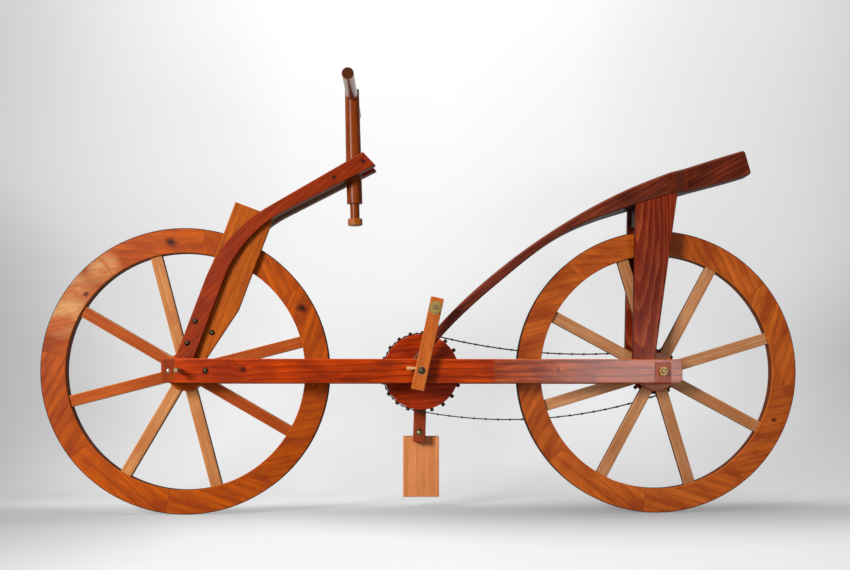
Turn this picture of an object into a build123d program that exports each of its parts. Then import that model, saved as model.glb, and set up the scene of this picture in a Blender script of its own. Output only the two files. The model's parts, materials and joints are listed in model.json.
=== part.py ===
from build123d import *
import math
import os

os.makedirs("parts", exist_ok=True)

# A wooden bicycle with spoked wooden wheels and a pegged chain drive. X runs from the front (-X) to the
# rear, Y from the near side to the far side, which carries the chain, and Z up from the floor.

# Wheels
wheel_r = 350.0
wheelbase = 1160.0
rim_depth = 60.0
rim_width = 36.0
felloes = 8
spoke_count = 8
spoke_width = 28.0
spoke_thick = 22.0
hub_r = 48.0
hub_width = 40.0
edge_break = 1.5
front_spoke_angle = 14.6
rear_spoke_angle = 16.8
felloe_offset = 22.5

# Axles
axle_r = 6.0
running_gap = 0.05
front_axle_end = 56.0
bare_end_r = 5.75
bare_end_shoulder = 1.0
rear_axle_end = 17.0
far_axle_end = 13.0
nut_across = 19.0
nut_thick = 8.0
collar_r = 13.0

# Widths of the layers beside the wheels
wheel_gap = 4.0
board_thick = 14.0
curve_thick = 30.0
beam_thick = 40.0
upright_thick = 24.0
upright_gap = 44.0

# Main beams
beam_height = 58.0
front_overhang = 45.0
rear_overhang = 48.0
beam_corner = 8.0
beam_edge = 2.0
splice_clearance = 59.0
splice_lap = 60.0
end_cap_length = 33.0
axle_block_length = 41.0
axle_block_height = 51.0

# Fork boards and curved beams, laid out from the front axle along a leaning line
fork_lean = 20.5
fork_front = 29.0
board_width = 99.0
far_board_width = 88.0
board_over_wheel = 79.0
board_taper_start = 185.0
board_foot_width = 57.0
curve_depth = 42.0
corner_over_rim = 4.0
curve_slope = 61.0
curve_bend_r = 330.0
curve_reach = 373.0
curve_tip_slant = 11.0
hidden_foot = 3.0
crown_clearance = 12.0
trap_peg_r = 5.5
dowel_r = 5.0
core_dowel_back = 52.0

# Handlebar
post_r = 19.0
post_top_r = 17.5
post_along = 333.9
post_shoulder = 14.0
post_lean = -1.4
post_foot = -81.5
spigot_r = 11.5
spigot_length = 37.0
knob_r = 18.0
knob_height = 17.0
crossbar_r = 14.0
crossbar_seat_r = 13.0
crossbar_half = 215.0
crossbar_rise = 185.0
prong_rise = 15.0
seat_gap = 0.3

# Rear uprights and saddle beam
upright_ahead = 69.0
upright_foot_width = 47.0
upright_lean = 1.1
upright_back_lean = 7.8
upright_head = 190.0
saddle_edge = 7.0
saddle_bend_r = 40.0
saddle_foot_width = 30.0
saddle_tail_width = 66.0
saddle_foot_depth = 25.0
saddle_block_height = 92.0
saddle_block_inset = 14.0

# The saddle beam's sweep: shares of the way from crank axle to rear axle, and heights over the wheels
saddle_top_line = [(0.080, -233), (0.267, -128), (0.542, -7), (0.803, 80), (1.055, 141), (1.372, 201)]
saddle_low_line = [(0.166, -214), (0.359, -114), (0.581, -16), (0.863, 53), (1.084, 90), (1.402, 142)]
saddle_foot_end, saddle_waist, saddle_swell, saddle_step, saddle_tail = 0.248, 0.573, 0.863, 1.052, 1.124

# Cross ties
tie_size = 40.0
tie_clearance = 30.0

# Crank and drive
crank_goal_x = -5.0
drive_reach = 585.0
crank_axle_r = 10.0
crank_length = 153.0
arm_width = 31.5
arm_thick = 26.0
arm_heel = 47.0
arm_tip = 25.0
arm_spacer = 8.0
spacer_r = 20.0
near_arm_angle = 77.8
far_arm_angle = 268.5
bearing_length = 84.0
bearing_thick = 66.0
chainring_pegs = 20
sprocket_pegs = 12
chain_pitch_r = 97.0
chainring_thick = 24.0
sprocket_thick = 12.0
chain_plane = 30.0
peg_r = 4.5
peg_rise = 8.0
peg_depth = 12.0
peg_angle = 16.0
sprocket_angle = 115.0
chain_pin_r = 2.6
chain_pin_length = 17.0
chain_rod_r = 1.3
chain_rod_spread = 6.6
chain_rest_gap = 0.3
first_wrap = 4
last_wrap = 14
sprocket_wraps = 6
least_slack = 1.5
boss_r = 29.0

# Pedal
pedal_pin_r = 6.0
pedal_length = 93.0
pedal_offset = 4.5
pedal_height = 156.0
pedal_depth = 72.0
pedal_drop = 12.0
pedal_gap = 7.5
ear_width = 26.0
ear_thick = 12.0
pin_head_r = 9.5
pin_head_height = 6.0
pin_cap_height = 5.0
pin_cap_gap = 1.0
washer_r = 16.0
washer_thick = 2.5
pin_nut_across = 22.0
pin_nut_thick = 9.0
pin_thread_end = 6.0

# Small fasteners
bolt_r = 7.0
bolt_rise = 6.0
arm_bolt_r = 8.5
fork_bolts = [(123.0, -15.0), (67.0, -15.0)]
board_bolt = (111.0, 29.0)
beam_bolt_back = 60.0
screw_r = 4.5
screw_rise = 2.0

# A cut runs this far past the faces that it opens
cut_over = 1.0

# Places that follow from the sizes above
chain_pitch = 2 * chain_pitch_r * math.sin(math.pi / chainring_pegs)
sprocket_pitch_r = chain_pitch / (2 * math.sin(math.pi / sprocket_pegs))
front_x = -wheelbase / 2
rear_x = wheelbase / 2
axle_z = wheel_r
# The crank axle is as near its goal as whole links of chain let it be
spare_links = round((rear_x - drive_reach - crank_goal_x) / chain_pitch)
crank_x = rear_x - drive_reach - spare_links * chain_pitch
front_tie_x = front_x + wheel_r + tie_clearance + tie_size / 2
splice_x = rear_x - wheel_r - splice_clearance
board_top = wheel_r + board_over_wheel
curve_corner = wheel_r + corner_over_rim
rim_inner_r = wheel_r - rim_depth
board_in = rim_width / 2 + wheel_gap
board_out = board_in + board_thick
beam_in = board_in + curve_thick
beam_out = beam_in + beam_thick
beam_low = axle_z - beam_height / 2
beam_high = axle_z + beam_height / 2
beam_front = front_x - front_overhang
beam_back = rear_x + rear_overhang
upright_out = upright_gap + upright_thick
arm_in = beam_out + arm_spacer
arm_out = arm_in + arm_thick


def side_plate(sketch, near_y, far_y):
    """A sketch drawn along the bicycle and up, as a plate from near_y to far_y."""
    face = Plane((0, far_y, 0), x_dir=(1, 0, 0), z_dir=(0, -1, 0)) * sketch
    return extrude(face, far_y - near_y)


def outline(points):
    return make_face(Polyline(*points, close=True))


def block(x_range, y_range, z_range):
    size = [high - low for low, high in (x_range, y_range, z_range)]
    middle = [(high + low) / 2 for low, high in (x_range, y_range, z_range)]
    return Pos(*middle) * Box(*size)


def cross_rod(x, z, radius, near_y, far_y):
    """A round rod across the bicycle."""
    return Pos(x, (near_y + far_y) / 2, z) * Rot(90, 0, 0) * Cylinder(radius, far_y - near_y)


def cross_hex(x, z, across, near_y, far_y):
    """A hexagonal nut across the bicycle."""
    return side_plate(Pos(x, z) * RegularPolygon(across / 2, 6, major_radius=False), near_y, far_y)


def eased(plate, size):
    """Breaks the edges round both faces of a side plate."""
    return chamfer(plate.edges() - plate.edges().filter_by(Axis.Y), size)


def mirrored(solid):
    """The same piece on the other side of the bicycle."""
    return mirror(solid, about=Plane.XZ)


def dome(x, z, radius, rise, near_y):
    """A domed bolt head that stands out from a near face."""
    ball_r = (radius**2 + rise**2) / (2 * rise)
    ball = Pos(x, near_y + ball_r - rise, z) * Sphere(ball_r)
    return ball & cross_rod(x, z, radius, near_y - rise, near_y)


def polar(radius, degrees):
    return radius * math.cos(math.radians(degrees)), radius * math.sin(math.radians(degrees))


def save(name, *solids):
    """Writes one node; several solids are a group of like pieces."""
    shape = solids[0] if len(solids) == 1 else Compound(children=list(solids))
    shape.label = name
    export_step(shape, f"parts/{name}.step")


# Wheels, made about the origin and then placed


def felloe(start):
    """One of the curved timbers that close the rim."""
    span = 360 / felloes
    far_corner = 2 * wheel_r
    wedge = outline([(0, 0), polar(far_corner, start), polar(far_corner, start + span)])
    ring = Circle(wheel_r) - Circle(rim_inner_r)
    timber = side_plate(ring & wedge, -rim_width / 2, rim_width / 2)
    round_edges = timber.edges().filter_by(GeomType.CIRCLE)
    return chamfer(round_edges, edge_break)


def spoke(angle, hub_radius):
    """A straight spoke with ends scribed to the hub and the rim."""
    bar = Pos(rim_inner_r / 2, 0, 0) * Box(rim_inner_r + cut_over, spoke_thick, spoke_width)
    long_edges = bar.edges().filter_by(Axis.X)
    bar = chamfer(long_edges, edge_break)
    bar = bar & cross_rod(0, 0, rim_inner_r, -spoke_thick, spoke_thick)
    bar = bar - cross_rod(0, 0, hub_radius, -spoke_thick, spoke_thick)
    return Rot(0, -angle, 0) * bar


def hub():
    disc = cross_rod(0, 0, hub_r, -hub_width / 2, hub_width / 2)
    disc = chamfer(disc.edges().filter_by(GeomType.CIRCLE), edge_break)
    return disc - cross_rod(0, 0, axle_r + running_gap, -hub_width, hub_width)


def sprocket_boss():
    """The turned step that holds the sprocket clear of the rim."""
    inner = hub_width / 2
    outer = chain_plane - sprocket_thick / 2
    ring = cross_rod(0, 0, boss_r, inner, outer)
    return ring - cross_rod(0, 0, axle_r + running_gap, inner - cut_over, outer + cut_over)


def make_wheel(side, x, first_spoke):
    place = Pos(x, 0, axle_z)
    span = 360 / felloes
    for count in range(felloes):
        start = first_spoke + felloe_offset + count * span
        save(f"{side}_felloe_{count + 1}", place * felloe(start))
    angles = [first_spoke + count * 360 / spoke_count for count in range(spoke_count)]
    save(f"{side}_spokes", *[place * spoke(angle, hub_r) for angle in angles])


# Pegged wheels of the drive


def radial_peg(angle, disc_r):
    length = peg_depth + peg_rise
    upright_peg = Pos(0, 0, disc_r - peg_depth + length / 2) * Cylinder(peg_r, length)
    return Rot(0, 90 - angle, 0) * upright_peg


def disc_radius(pitch_r, count):
    """The disc lies just under the chain's rods and pins."""
    under_rods = pitch_r * math.cos(math.pi / count) - chain_rod_r - chain_rest_gap
    under_pins = pitch_r - chain_pin_r - chain_rest_gap
    return min(under_rods, under_pins)


def make_pegged_wheel(name, x, pitch_r, count, thick, bore_r, first_peg):
    disc_r = disc_radius(pitch_r, count)
    place = Pos(x, chain_plane, axle_z)
    pegs = [radial_peg(first_peg + number * 360 / count, disc_r) for number in range(count)]
    disc = cross_rod(0, 0, disc_r, -thick / 2, thick / 2)
    disc = chamfer(disc.edges().filter_by(GeomType.CIRCLE), edge_break)
    disc = disc - cross_rod(0, 0, bore_r, -thick, thick)
    disc = disc - pegs
    save(f"{name}_disc", place * disc)
    save(f"{name}_pegs", *[place * peg for peg in pegs])


# Chain


def arc_points(start, end, links):
    """Equal chords of one pitch along the arc on which a slack run hangs."""
    span = math.dist(start, end)
    low, high = 1e-6, math.pi / links
    for _ in range(60):
        half_step = (low + high) / 2
        reach = chain_pitch * math.sin(links * half_step) / math.sin(half_step)
        if reach > span:
            low = half_step
        else:
            high = half_step
    line = math.atan2(end[1] - start[1], end[0] - start[0])
    points = [start]
    for number in range(links - 1):
        heading = line - half_step * (links - 1) + 2 * half_step * number
        x, z = points[-1]
        points.append((x + chain_pitch * math.cos(heading), z + chain_pitch * math.sin(heading)))
    return points


def run_links(start, end):
    """The fewest links that leave the run a little slack."""
    return math.ceil((math.dist(start, end) + least_slack) / chain_pitch)


def on_circle(centre_x, radius, angle):
    x, z = polar(radius, angle)
    return centre_x + x, axle_z + z


def ring_pin(number):
    step = 360 / chainring_pegs
    return on_circle(crank_x, chain_pitch_r, peg_angle - step / 2 + step * number)


def leaving_pin(number, way, far_end):
    """The first pin, from this one on, whose free run leaves the chainring without dipping into it."""
    start = ring_pin(number)
    run = arc_points(start, far_end, run_links(start, far_end))
    if math.dist(run[1], (crank_x, axle_z)) >= chain_pitch_r:
        return number
    return leaving_pin(number + way, way, far_end)


def chain_route():
    """The pins' places, once round the chain."""
    small_step = 360 / sprocket_pegs
    angles = [sprocket_angle - small_step * number for number in range(sprocket_wraps + 1)]
    small = [on_circle(rear_x, sprocket_pitch_r, angle) for angle in angles]
    first = leaving_pin(first_wrap, -1, small[0])
    last = leaving_pin(last_wrap, 1, small[-1])
    ring = [ring_pin(number) for number in range(first, last + 1)]
    top = arc_points(ring[0], small[0], run_links(ring[0], small[0]))
    bottom = arc_points(ring[-1], small[-1], run_links(ring[-1], small[-1]))
    return top + small + bottom[:0:-1] + ring[:0:-1]


def chain_rod(start, end, y):
    """One of the two rods of a link, from pin to pin."""
    middle = ((start[0] + end[0]) / 2, (start[1] + end[1]) / 2)
    tilt = math.degrees(math.atan2(end[1] - start[1], end[0] - start[0]))
    length = math.dist(start, end) - 2 * chain_pin_r
    return Pos(middle[0], y, middle[1]) * Rot(0, -tilt, 0) * Rot(0, 90, 0) * Cylinder(chain_rod_r, length)


def make_chain():
    pins = chain_route()
    half = chain_pin_length / 2
    pin_solids = [cross_rod(x, z, chain_pin_r, chain_plane - half, chain_plane + half) for x, z in pins]
    rods = []
    for start, end in zip(pins, pins[1:] + pins[:1]):
        for y in (chain_plane - chain_rod_spread, chain_plane + chain_rod_spread):
            rods.append(chain_rod(start, end, y))
    save("chain_pins", *pin_solids)
    save("chain_rods", *rods)


# Fork boards, curved beams and what lies between them


def fork_point(along, across):
    """A point laid out from the front axle, up the fork and back across it."""
    lean = math.radians(fork_lean)
    x = front_x + along * math.sin(lean) + across * math.cos(lean)
    return x, axle_z + along * math.cos(lean) - across * math.sin(lean)


def board_sketch(width):
    """The fork board: square at the top, tapered towards its foot, cut off level inside the main beam."""
    back = width - fork_front
    foot_back = back - board_width + board_foot_width
    foot = -beam_height
    shape = outline([
        fork_point(foot, -fork_front),
        fork_point(board_top, -fork_front),
        fork_point(board_top, back),
        fork_point(board_taper_start, back),
        fork_point(0, foot_back),
        fork_point(foot, foot_back),
    ])
    return shape - below_beam()


def below_beam():
    """Everything lower than the hidden feet of the fork."""
    return Pos(front_x, beam_low + hidden_foot - beam_height) * Rectangle(4 * board_width, 2 * beam_height)


def curve_sketch():
    """The curved beam: straight along the fork, one bend, and straight to its tip."""
    slope = math.radians(curve_slope)
    ahead = (math.sin(slope), math.cos(slope))
    aside = (math.cos(slope), -math.sin(slope))
    middle = curve_depth / 2 - fork_front
    corner = fork_point(curve_corner, middle)
    half_turn = math.radians(curve_slope - fork_lean) / 2
    edges = []
    for side, tip_more in ((-1, 0), (1, curve_tip_slant)):
        shift = side * curve_depth / 2
        along = curve_corner + shift * math.tan(half_turn)
        foot = fork_point(-beam_height, middle + shift)
        bend = fork_point(along, middle + shift)
        reach = curve_reach + tip_more
        tip = (
            corner[0] + reach * ahead[0] + shift * aside[0],
            corner[1] + reach * ahead[1] + shift * aside[1],
        )
        edges.append(FilletPolyline(foot, bend, tip, radius=curve_bend_r - shift))
    ends = [Line(edges[0] @ 0, edges[1] @ 0), Line(edges[0] @ 1, edges[1] @ 1)]
    return make_face(edges + ends) - below_beam()


def front_axle_hole():
    return cross_rod(front_x, axle_z, axle_r, -2 * beam_out, 2 * beam_out)


def curve_line(along):
    """A point on the curved beam's middle line, so far beyond the corner of its bend."""
    slope = math.radians(curve_slope)
    x, z = fork_point(curve_corner, curve_depth / 2 - fork_front)
    return x + along * math.sin(slope), z + along * math.cos(slope)


def handlebar_place():
    """Where the post crosses the curved beams, leaning a little forwards."""
    x, z = curve_line(post_along)
    return Pos(x, 0, z) * Rot(0, post_lean, 0)


def before_post():
    """The leaning post's room and all behind it, which ends the core in a rounded seat."""
    space = Pos(0, 0, post_foot / 2) * Cylinder(post_r + seat_gap, 6 * post_r - post_foot)
    behind = Pos(2 * post_r, 0, 0) * Box(4 * post_r, 2 * beam_in, 8 * post_r)
    return handlebar_place() * (space + behind)


def trap_peg_place():
    """The peg behind the post stands a running clearance off it."""
    lean = math.radians(post_lean)
    out = post_r + trap_peg_r + seat_gap
    up = out / math.tan(math.radians(curve_slope))
    x, z = curve_line(post_along)
    return x + out * math.cos(lean) + up * math.sin(lean), z - out * math.sin(lean) + up * math.cos(lean)


def cross_pegs():
    """The peg that traps the post and the dowel through the core, flush with the outer faces."""
    return [
        cross_rod(*trap_peg_place(), trap_peg_r, -beam_in, beam_in),
        cross_rod(*curve_line(post_along - core_dowel_back), dowel_r, -beam_in, beam_in),
    ]


def tyre_space():
    """The wheel's sweep with room to spare, kept clear by the blocks between the fork's sides."""
    return cross_rod(front_x, axle_z, wheel_r + crown_clearance, -board_in, board_in)


def make_fork():
    far_board = eased(side_plate(board_sketch(far_board_width), board_in, board_out), edge_break)
    near_board = eased(side_plate(board_sketch(board_width), -board_out, -board_in), edge_break)
    curve = eased(side_plate(curve_sketch(), board_in, beam_in), beam_edge)
    curve = curve - front_axle_hole() - cross_pegs()
    save("far_fork_board", far_board - front_axle_hole())
    save("near_fork_board", near_board - front_axle_hole())
    save("far_curved_beam", curve - far_board)
    save("near_curved_beam", mirrored(curve) - near_board)
    core = side_plate(curve_sketch(), -board_in, board_in) - tyre_space()
    core = core - before_post() - cross_pegs()
    save("beam_core", core.solids().sort_by(SortBy.VOLUME)[-1])
    crown = side_plate(board_sketch(far_board_width) - curve_sketch(), -board_in, board_in) - tyre_space()
    save("crown_block", crown.solids().sort_by(SortBy.VOLUME)[-1])
    save("fork_dowels", *cross_pegs())


# Main beams


def near_beam():
    """The whole near beam with its corners rounded, before it is cut into its lengths."""
    length = beam_back - beam_front
    shape = Pos((beam_back + beam_front) / 2, axle_z) * RectangleRounded(length, beam_height, beam_corner)
    bar = side_plate(shape, -beam_out, -beam_in)
    return chamfer(bar.edges().filter_by(Axis.X), beam_edge)


def beam_zone(front, back, top=beam_high + cut_over, near_y=-beam_out - cut_over, far_y=-beam_in + cut_over):
    """A stretch of the near beam, with a little over on its outer faces."""
    return block((front, back), (near_y, far_y), (beam_low - cut_over, top))


def end_zone():
    """The front end cap's share of a beam."""
    return beam_zone(beam_front - cut_over, beam_front + end_cap_length)


def axle_block_zone():
    """The rear axle block's share of a beam, open at the underside."""
    half = axle_block_length / 2
    return beam_zone(rear_x - half, rear_x + half, top=beam_low + axle_block_height)


def rear_length_zone():
    """What lies behind the half-lap splice."""
    middle_y = (beam_out + beam_in) / 2
    back = beam_back + cut_over
    outer = beam_zone(splice_x, back, far_y=-middle_y)
    return outer + beam_zone(splice_x - splice_lap, back, near_y=-middle_y)


def through_holes():
    """The front and rear axles and the crank axle, which runs in the beams."""
    far = 2 * beam_out
    return [
        cross_rod(front_x, axle_z, axle_r, -far, far),
        cross_rod(rear_x, axle_z, axle_r, -far, far),
        cross_rod(crank_x, axle_z, crank_axle_r + running_gap, -far, far),
    ]


def near_upright():
    """A tapered upright whose foot is let into the main beam and whose head follows the saddle beam."""
    foot_z = beam_low + hidden_foot
    head_z = 2 * wheel_r + upright_head
    rise = head_z - foot_z
    front_foot = rear_x - upright_ahead
    front_head = front_foot + rise * math.tan(math.radians(upright_lean))
    back_foot = front_foot + upright_foot_width
    back_head = back_foot + rise * math.tan(math.radians(upright_back_lean))
    shape = outline([(front_foot, foot_z), (front_head, head_z), (back_head, head_z), (back_foot, foot_z)])
    board = eased(side_plate(shape, -upright_out, -upright_gap), edge_break)
    return board - above_saddle_underside()


def make_beams():
    whole = near_beam() - through_holes()
    cap = whole & end_zone()
    axle_block = (whole & axle_block_zone()) - near_upright()
    bar = whole - end_zone() - axle_block_zone() - near_upright()
    back = bar & rear_length_zone()
    front = bar - rear_length_zone()
    save("near_beam_front", front)
    save("near_beam_rear", back)
    save("far_main_beam", mirrored(bar))
    save("front_end_caps", cap, mirrored(cap))
    save("rear_axle_blocks", axle_block, mirrored(axle_block))


def make_ties():
    """Ties between the main beams; the rear one backs the splice."""
    z_range = (axle_z - tie_size / 2, axle_z + tie_size / 2)
    ties = []
    for x in (front_tie_x, splice_x):
        tie = block((x - tie_size / 2, x + tie_size / 2), (-beam_in, beam_in), z_range)
        ties.append(chamfer(tie.edges().filter_by(Axis.Y), edge_break))
    save("cross_ties", *ties)


def make_bearing_block():
    """The block on the near beam that carries the crank axle and the saddle beam's foot."""
    near_y = -beam_in
    z_range = (beam_low + hidden_foot, beam_high - hidden_foot)
    x_range = (crank_x - bearing_length / 2, crank_x + bearing_length / 2)
    body = block(x_range, (near_y, near_y + bearing_thick), z_range)
    body = body - cross_rod(crank_x, axle_z, crank_axle_r + running_gap, -beam_out, beam_out)
    save("crank_bearing_block", body - saddle_beam())


# Saddle beam and uprights


def saddle_points(line):
    """Points of the sweep from shares of the way between the axles and heights over the wheels."""
    return [(crank_x + share * (rear_x - crank_x), 2 * wheel_r + rise) for share, rise in line]


def saddle_foot():
    """The foot's two corners, just over the crank axle in the bearing block."""
    z = axle_z + crank_axle_r + hidden_foot
    back = crank_x - crank_axle_r
    return (back - saddle_foot_depth, z), (back, z)


def saddle_underside():
    return Spline(saddle_foot()[1], *saddle_points(saddle_low_line))


def saddle_side():
    """The side view: a long rising sweep that thickens towards the saddle and its tail."""
    upper = Spline(saddle_foot()[0], *saddle_points(saddle_top_line))
    lower = saddle_underside()
    return make_face([upper, lower, Line(upper @ 0, lower @ 0), Line(upper @ 1, lower @ 1)])


def saddle_plan():
    """The plan view: a slim foot beside the chainring, full width over the uprights, a narrower tail."""
    foot_in = beam_in - saddle_foot_width
    tail = saddle_tail_width / 2
    reach = crank_x - 2 * saddle_foot_width, beam_back + 4 * saddle_tail_width
    stations = [
        (saddle_foot_end, beam_in, -foot_in),
        (saddle_waist, (beam_in + upright_gap) / 2, foot_in),
        (saddle_swell, upright_out, upright_out),
        (saddle_step, upright_out, upright_out),
        (saddle_tail, tail, tail),
    ]
    places = [crank_x + station[0] * (rear_x - crank_x) for station in stations]
    near = [(x, -station[1]) for x, station in zip(places, stations)]
    far = [(x, station[2]) for x, station in zip(places, stations)]
    ends_near = [(reach[0], -beam_in)] + near + [(reach[1], -tail)]
    ends_far = [(reach[0], -foot_in)] + far + [(reach[1], tail)]
    shape = outline(ends_near + ends_far[::-1])
    bends = [v for v in shape.vertices() if reach[0] + cut_over < v.X < reach[1] - cut_over]
    return fillet(bends, saddle_bend_r)


def saddle_beam():
    side = side_plate(saddle_side(), -2 * beam_out, 2 * beam_out)
    beam = side & extrude(saddle_plan(), 4 * wheel_r)
    return fillet(beam.edges(), saddle_edge)


def above_saddle_underside():
    """All that lies above the saddle beam's underside, which trims what stands below it."""
    lower = saddle_underside()
    roof = 4 * wheel_r
    start, end = lower @ 0, lower @ 1
    rest = Polyline((end.X, end.Y), (end.X, roof), (start.X, roof), (start.X, start.Y))
    return side_plate(make_face([lower, rest]), -2 * beam_out, 2 * beam_out)


def make_saddle():
    save("saddle_beam", saddle_beam())
    upright = near_upright()
    save("near_upright", upright)
    save("far_upright", mirrored(upright))
    low_z = 2 * wheel_r + crown_clearance
    front = rear_x - upright_ahead
    span = (front + saddle_block_inset, front + 2 * upright_foot_width - saddle_block_inset)
    filler = block(span, (-upright_gap, upright_gap), (low_z, low_z + saddle_block_height))
    save("saddle_block", filler - above_saddle_underside())


# Handlebar


def crossbar():
    """A round bar across the bicycle, let in a little where the post's prongs hold it."""
    seat = cross_rod(0, 0, crossbar_seat_r, -post_r, post_r)
    grip = cross_rod(0, 0, crossbar_r, post_r, crossbar_half)
    grip = chamfer(grip.edges().filter_by(GeomType.CIRCLE).sort_by(Axis.Y)[-1], edge_break)
    return seat + grip + mirrored(grip)


def make_handlebar():
    """Made upright about the crossing with the curved beams, then leaned."""
    place = handlebar_place()
    top = crossbar_rise + prong_rise
    post = Pos(0, 0, (post_foot + post_shoulder) / 2) * Cylinder(post_r, post_shoulder - post_foot)
    post = post + Pos(0, 0, (post_shoulder + top) / 2) * Cone(post_r, post_top_r, top - post_shoulder)
    bar = Pos(0, 0, crossbar_rise) * crossbar()
    slot = Pos(0, 0, crossbar_rise + prong_rise) * Box(2 * crossbar_seat_r, 4 * post_r, 2 * prong_rise)
    post = post - bar - slot
    spigot = Pos(0, 0, post_foot - spigot_length / 2) * Cylinder(spigot_r, spigot_length)
    post = post + spigot
    low = post_foot - spigot_length - knob_height
    knob = extrude(Plane((0, 0, low)) * RegularPolygon(knob_r, 8), knob_height)
    knob = chamfer(knob.edges().group_by(Axis.Z)[-1] + knob.edges().group_by(Axis.Z)[0], edge_break)
    save("handlebar_post", place * post)
    save("handlebar_crossbar", place * bar)
    save("handlebar_knob", place * knob)


# Axles and fasteners


def make_axles():
    shoulder = -beam_out - bare_end_shoulder
    front = cross_rod(front_x, axle_z, axle_r, shoulder, beam_out + far_axle_end)
    bare_end = cross_rod(front_x, axle_z, bare_end_r, -beam_out - front_axle_end, shoulder)
    rear = cross_rod(rear_x, axle_z, axle_r, -beam_out - rear_axle_end, beam_out + far_axle_end)
    front = chamfer(front.edges().filter_by(GeomType.CIRCLE).sort_by(Axis.Y)[-1], edge_break)
    bare_end = chamfer(bare_end.edges().filter_by(GeomType.CIRCLE).sort_by(Axis.Y)[0], edge_break)
    rear = chamfer(rear.edges().filter_by(GeomType.CIRCLE), edge_break)
    save("wheel_axles", front + bare_end, rear)
    nuts = []
    for x, near_y in ((front_x, beam_out), (rear_x, beam_out), (rear_x, -beam_out - nut_thick)):
        nut = cross_hex(x, axle_z, nut_across, near_y, near_y + nut_thick)
        nuts.append(nut - cross_rod(x, axle_z, axle_r, near_y - cut_over, near_y + nut_thick + cut_over))
    far_start = chain_plane + sprocket_thick / 2 + 2 * running_gap
    near_start = -hub_width / 2 - 2 * running_gap
    collars = []
    for low, high in ((-beam_in, near_start), (far_start, beam_in)):
        ring = cross_rod(rear_x, axle_z, collar_r, low, high)
        collars.append(ring - cross_rod(rear_x, axle_z, axle_r, low - cut_over, high + cut_over))
    save("axle_nuts", *nuts, *collars)


def make_bolts():
    """Domed bolts on both sides, at the fork's foot and on the main beams."""
    heads = [
        dome(front_x + beam_bolt_back, axle_z, bolt_r, bolt_rise, -beam_out),
        dome(*fork_point(*board_bolt), bolt_r, bolt_rise, -board_out),
    ]
    heads += [dome(*fork_point(*place), bolt_r, bolt_rise, -beam_in) for place in fork_bolts]
    save("dome_bolts", *heads, *[mirrored(head) for head in heads])
    screw = dome(beam_front + end_cap_length / 2, axle_z, screw_r, screw_rise, -beam_out)
    save("end_screws", screw, mirrored(screw))


# Crank and pedal


def arm(angle):
    """A crank arm about its axle, from heel to tip."""
    length = arm_heel + crank_length + arm_tip
    bar = Pos((crank_length + arm_tip - arm_heel) / 2, 0, 0) * Box(length, arm_thick, arm_width)
    bar = chamfer(bar.edges(), edge_break)
    bar = bar - cross_rod(0, 0, crank_axle_r, -arm_thick, arm_thick)
    bar = bar - cross_rod(crank_length, 0, pedal_pin_r, -arm_thick, arm_thick)
    return Rot(0, -angle, 0) * bar


def pin_place(angle):
    return on_circle(crank_x, crank_length, angle)


def make_crank():
    middle = (arm_in + arm_out) / 2
    save("near_crank_arm", Pos(crank_x, -middle, axle_z) * arm(near_arm_angle))
    save("far_crank_arm", Pos(crank_x, middle, axle_z) * arm(far_arm_angle))
    save("crank_axle", cross_rod(crank_x, axle_z, crank_axle_r, -arm_out, arm_out))
    head = dome(crank_x, axle_z, arm_bolt_r, bolt_rise, -arm_out)
    save("arm_bolts", head, mirrored(head))
    rings = []
    for low in (beam_out + 2 * running_gap, -arm_in):
        high = low + arm_spacer - 2 * running_gap
        ring = cross_rod(crank_x, axle_z, spacer_r, low, high)
        rings.append(ring - cross_rod(crank_x, axle_z, crank_axle_r, low - cut_over, high + cut_over))
    save("arm_spacers", *rings)


def pedal_pin(x, z, end):
    """A pin with its head inside the near arm and its free end outwards, for the near side."""
    head = dome(x, z, pin_head_r, pin_head_height, arm_in)
    shank = cross_rod(x, z, pedal_pin_r, arm_in, end)
    return head + shank


def make_pins():
    far_x, far_z = pin_place(far_arm_angle)
    far_end = arm_out + pedal_gap + pedal_depth + pin_cap_gap
    far_pin = pedal_pin(far_x, far_z, far_end)
    far_pin = far_pin + cross_rod(far_x, far_z, pin_head_r, far_end, far_end + pin_cap_height)
    near_x, near_z = pin_place(near_arm_angle)
    near_end = arm_out + washer_thick + pin_nut_thick + pin_thread_end
    save("pedal_pins", far_pin, mirrored(pedal_pin(near_x, near_z, near_end)))
    washer = cross_rod(near_x, near_z, washer_r, -arm_out - washer_thick, -arm_out)
    nut_low = -arm_out - washer_thick - pin_nut_thick
    nut = cross_hex(near_x, near_z, pin_nut_across, nut_low, -arm_out - washer_thick)
    hole = cross_rod(near_x, near_z, pedal_pin_r, nut_low - cut_over, -arm_out + cut_over)
    save("pin_nut", washer - hole, nut - hole)


def make_pedal():
    """A wooden block that hangs from two ears on the far pin."""
    x, z = pin_place(far_arm_angle)
    y_low = arm_out + pedal_gap
    y_high = y_low + pedal_depth
    top = z - pedal_drop
    front = x + pedal_offset - pedal_length / 2
    body = block((front, front + pedal_length), (y_low, y_high), (top - pedal_height, top))
    save("pedal_block", chamfer(body.edges(), edge_break))
    ears = []
    for low in (y_low, y_high - ear_thick):
        cheek = block((x - ear_width / 2, x + ear_width / 2), (low, low + ear_thick), (top, z))
        cheek = cheek + cross_rod(x, z, ear_width / 2, low, low + ear_thick) - body
        ears.append(cheek - cross_rod(x, z, pedal_pin_r + running_gap, low - cut_over, low + 2 * ear_thick))
    save("pedal_ears", *ears)


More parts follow.
